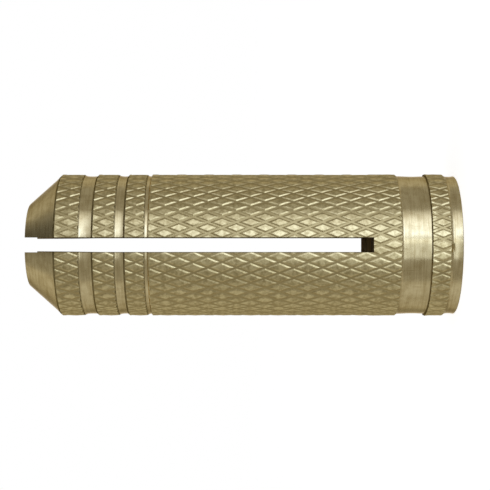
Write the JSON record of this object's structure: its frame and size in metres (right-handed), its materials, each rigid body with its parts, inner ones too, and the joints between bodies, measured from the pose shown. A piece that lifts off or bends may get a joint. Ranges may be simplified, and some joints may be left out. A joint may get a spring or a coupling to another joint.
{
  "type": "brass expansion anchor",
  "caption": "Knurled brass sleeve anchor with a tapped mouth, crossing slots that part its legs, and a tapered tip; a screw driven in spreads the legs.",
  "frame": {"origin": "centre of the mouth, on the flat end that stays flush with the wall and that the anchor stands on", "axes": "+Z along the anchor's axis, from the mouth to the tapered tip; the saw cuts lie in the XZ and YZ planes"},
  "size_m": [0.01, 0.01, 0.0299],
  "materials": {
    "brass": "turned and knurled, satin"
  },
  "bodies": {
    "root": {"anchor_sleeve": "brass"}
  },
  "joints": []
}
